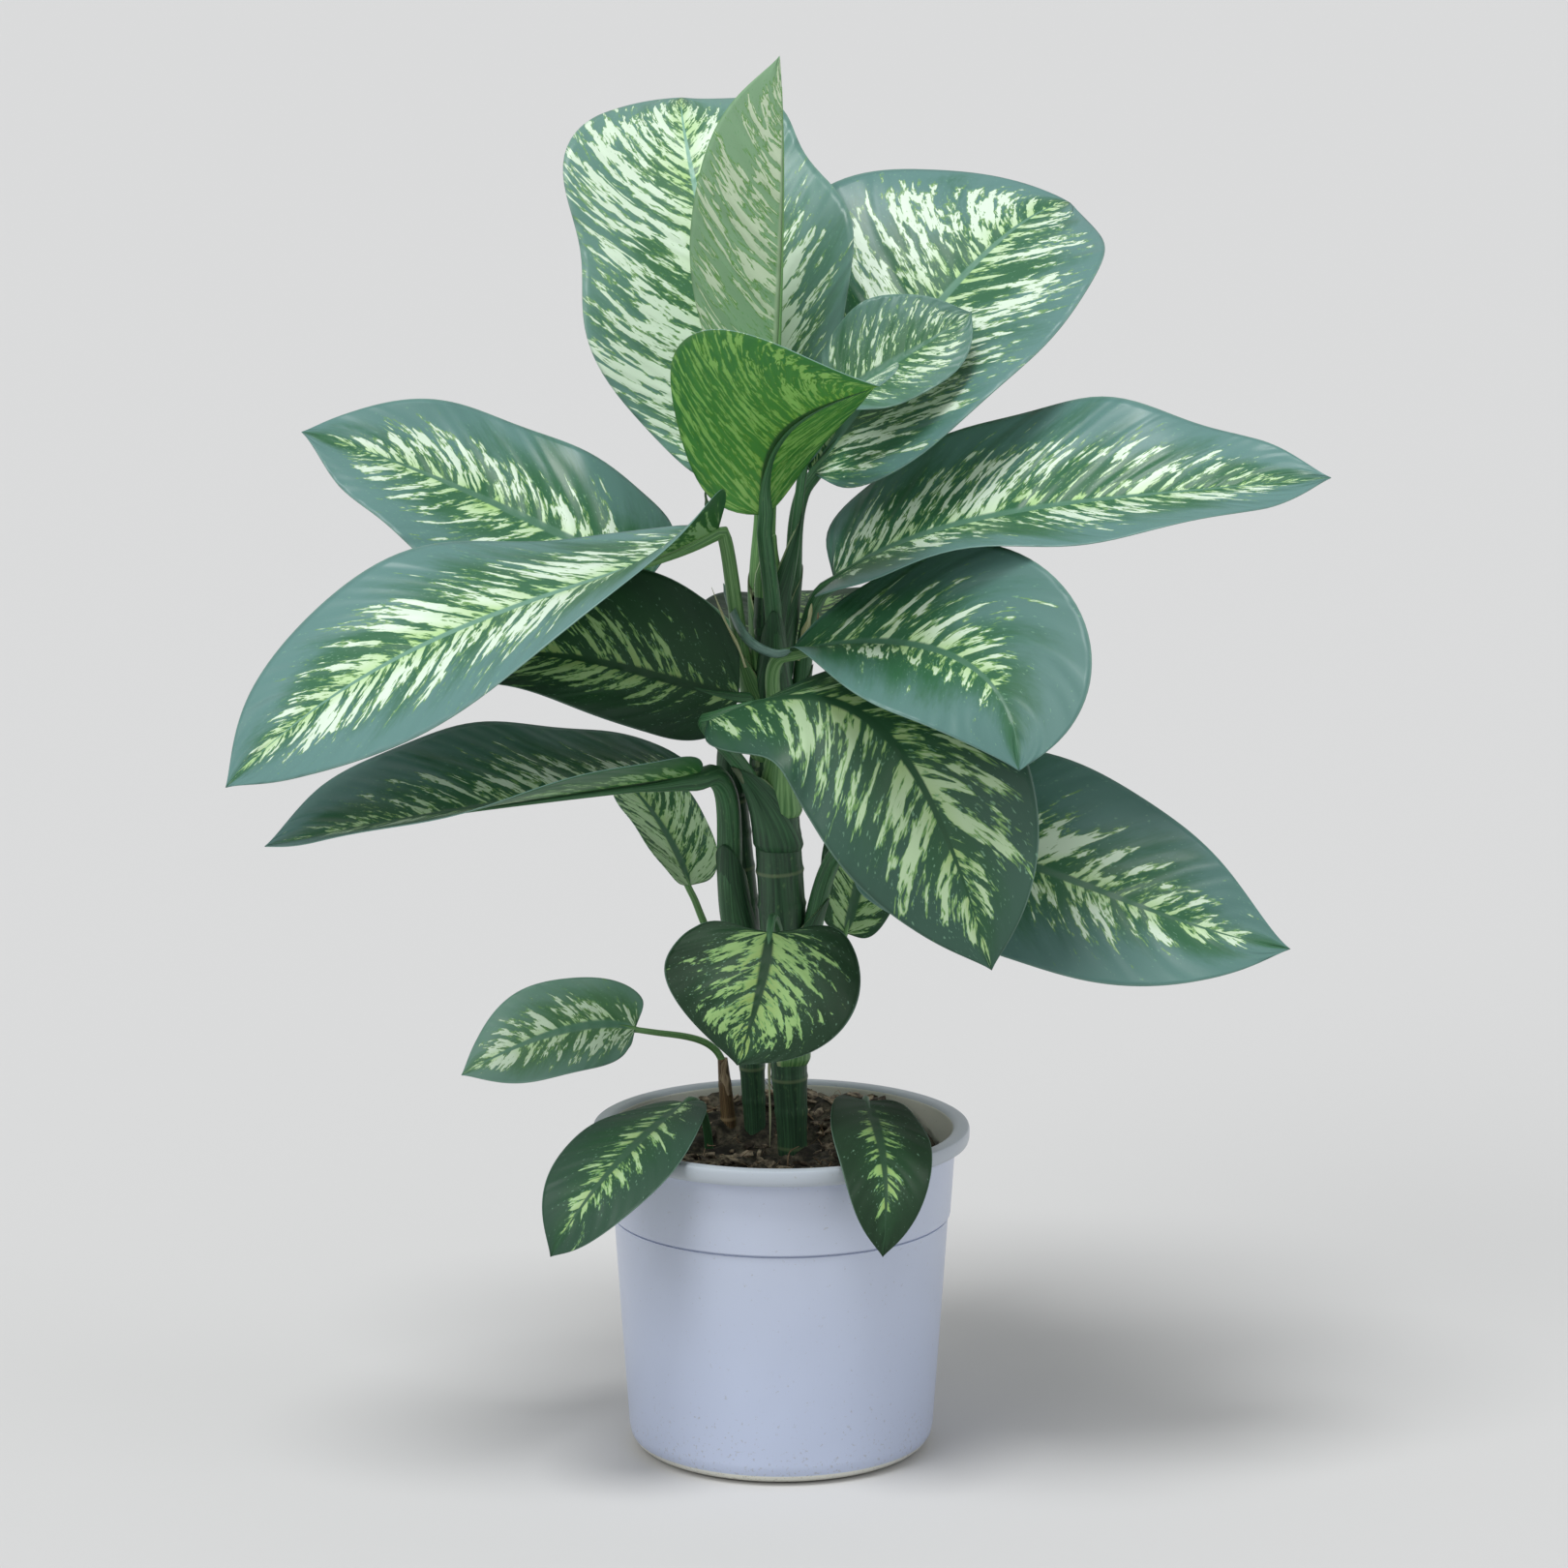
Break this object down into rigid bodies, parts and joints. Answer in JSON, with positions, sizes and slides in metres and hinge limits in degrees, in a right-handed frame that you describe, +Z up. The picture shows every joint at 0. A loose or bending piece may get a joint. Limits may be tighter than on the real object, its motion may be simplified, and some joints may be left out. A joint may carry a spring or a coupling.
{
  "type": "potted dieffenbachia",
  "caption": "Potted foliage house plant: broad variegated leaves on sheathed canes standing in soil in a smooth round plastic pot with a rolled rim.",
  "frame": {"origin": "centre of the pot's underside, on the plane it stands on", "axes": "+Z up along the pot's axis, -Y toward the front of the plant, +X to its right seen from the front"},
  "size_m": [0.6692, 0.4397, 0.883],
  "materials": {
    "pot_plastic": "smooth, softly glossy, pale blue-grey",
    "potting_mix": "rough, crumbly peat and bark",
    "cane": "smooth green stem with ring scars",
    "dry_shoot": "dry brown sheath",
    "leaf": "satin green blade with cream-green markings",
    "young_leaf": "satin yellow-green blade"
  },
  "bodies": {
    "root": {"pot": "pot_plastic", "soil": "potting_mix", "cane_main": "cane", "cane_left": "cane", "shoot_left": "dry_shoot", "leaf_top_back": "leaf", "leaf_spear": "young_leaf", "leaf_top_right": "leaf", "leaf_top_inner": "leaf", "leaf_top_cup": "leaf", "leaf_right_upper": "leaf", "leaf_right_middle": "leaf", "leaf_front_hanging": "leaf", "leaf_right_lower": "leaf", "leaf_left_upper": "leaf", "leaf_left_front": "leaf", "leaf_left_inner": "leaf", "leaf_left_lower": "leaf", "leaf_left_pale": "young_leaf", "leaf_right_pale": "young_leaf", "leaf_front_small": "leaf", "leaf_low_left": "leaf", "leaf_rim_left": "leaf", "leaf_rim_right": "leaf", "leaf_back": "leaf"}
  },
  "joints": []
}
